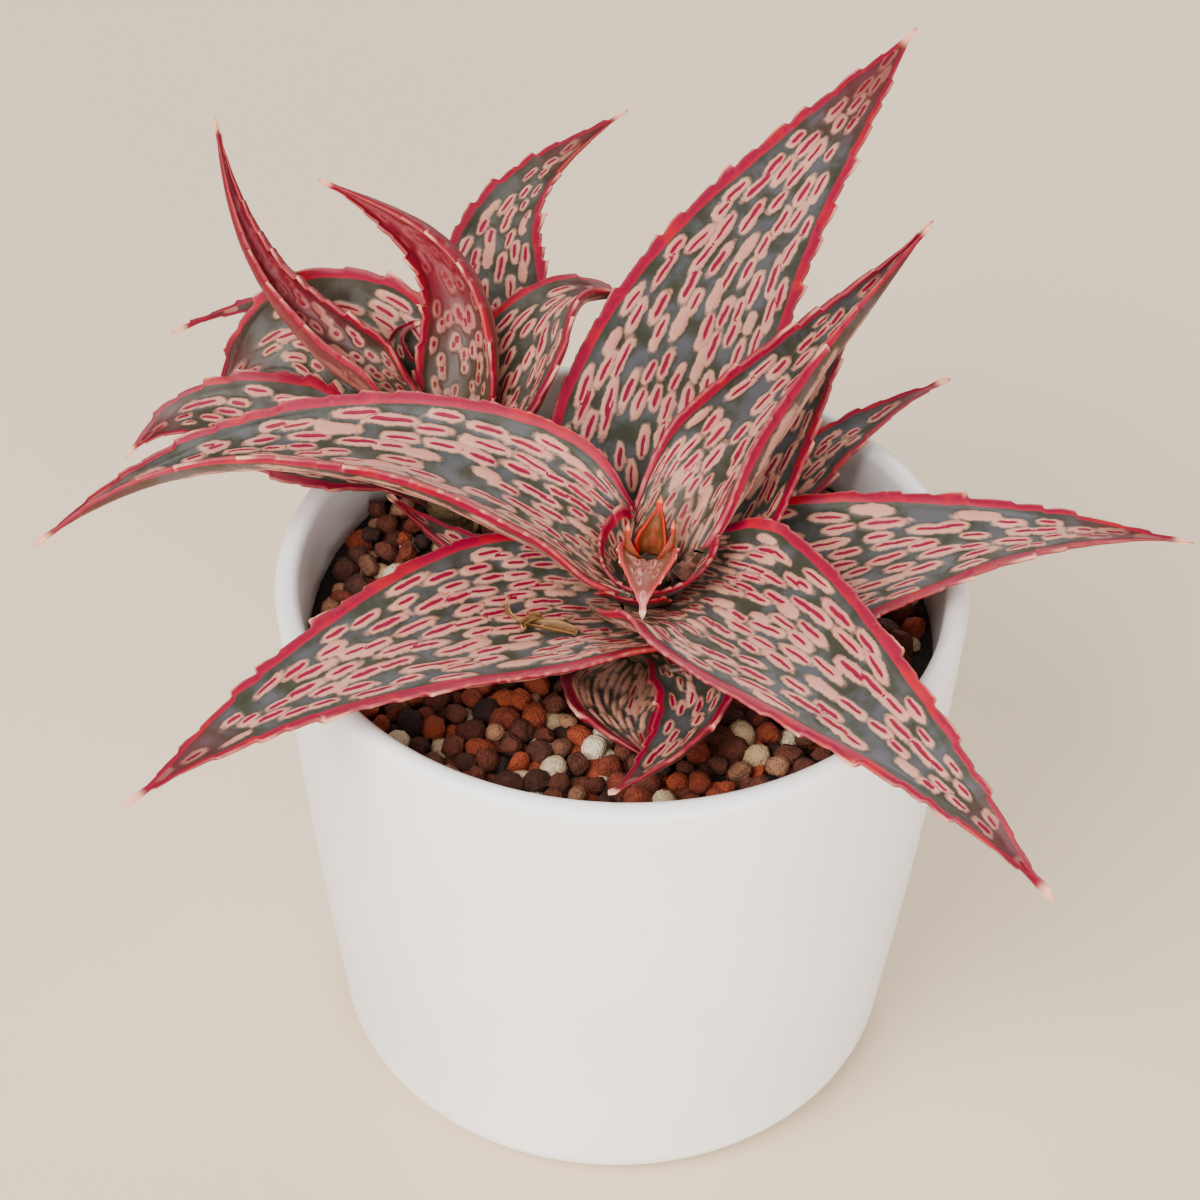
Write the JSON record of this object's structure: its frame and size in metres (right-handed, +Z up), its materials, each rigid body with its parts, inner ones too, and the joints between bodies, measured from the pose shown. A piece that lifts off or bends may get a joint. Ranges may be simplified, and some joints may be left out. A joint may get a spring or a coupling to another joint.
{
  "type": "potted aloe",
  "caption": "Spotted aloe with red toothed margins and a side offset, growing in grit in a round glazed pot.",
  "frame": {"origin": "on the pot's axis, in the plane of the pot's flat underside", "axes": "+Z up along the pot's axis, +X to the viewer's right and +Y away from the viewer in the picture's view"},
  "size_m": [0.1803, 0.1676, 0.1412],
  "materials": {
    "pot_glaze": "satin white glaze",
    "grit": "matte baked clay and pumice grains, red-brown, dark brown and cream",
    "stem": "matte",
    "leaf": "satin grey-green skin with pale raised spots and crimson margins",
    "offset_leaf": "satin grey-green skin, densely spotted pink, crimson margins",
    "leaf_heart": "satin orange red"
  },
  "bodies": {
    "root": {"pot": "pot_glaze", "grit": "grit", "stem": "stem", "offset_stem": "stem", "leaf_heart": "leaf_heart", "leaf_young": "leaf", "leaf_upright": "leaf", "leaf_left": "leaf", "leaf_front_right": "leaf", "leaf_tucked": "leaf", "leaf_front_left": "leaf", "leaf_back": "leaf", "leaf_right": "leaf", "leaf_low_right": "leaf", "leaf_low_left": "leaf", "leaf_low_front": "leaf", "leaf_low_curl": "leaf", "offset_heart": "leaf_heart", "offset_curled": "offset_leaf", "offset_back": "offset_leaf", "offset_tall": "offset_leaf", "offset_right": "offset_leaf", "offset_left": "offset_leaf", "offset_low_left": "offset_leaf", "offset_low_back": "offset_leaf"}
  },
  "joints": []
}
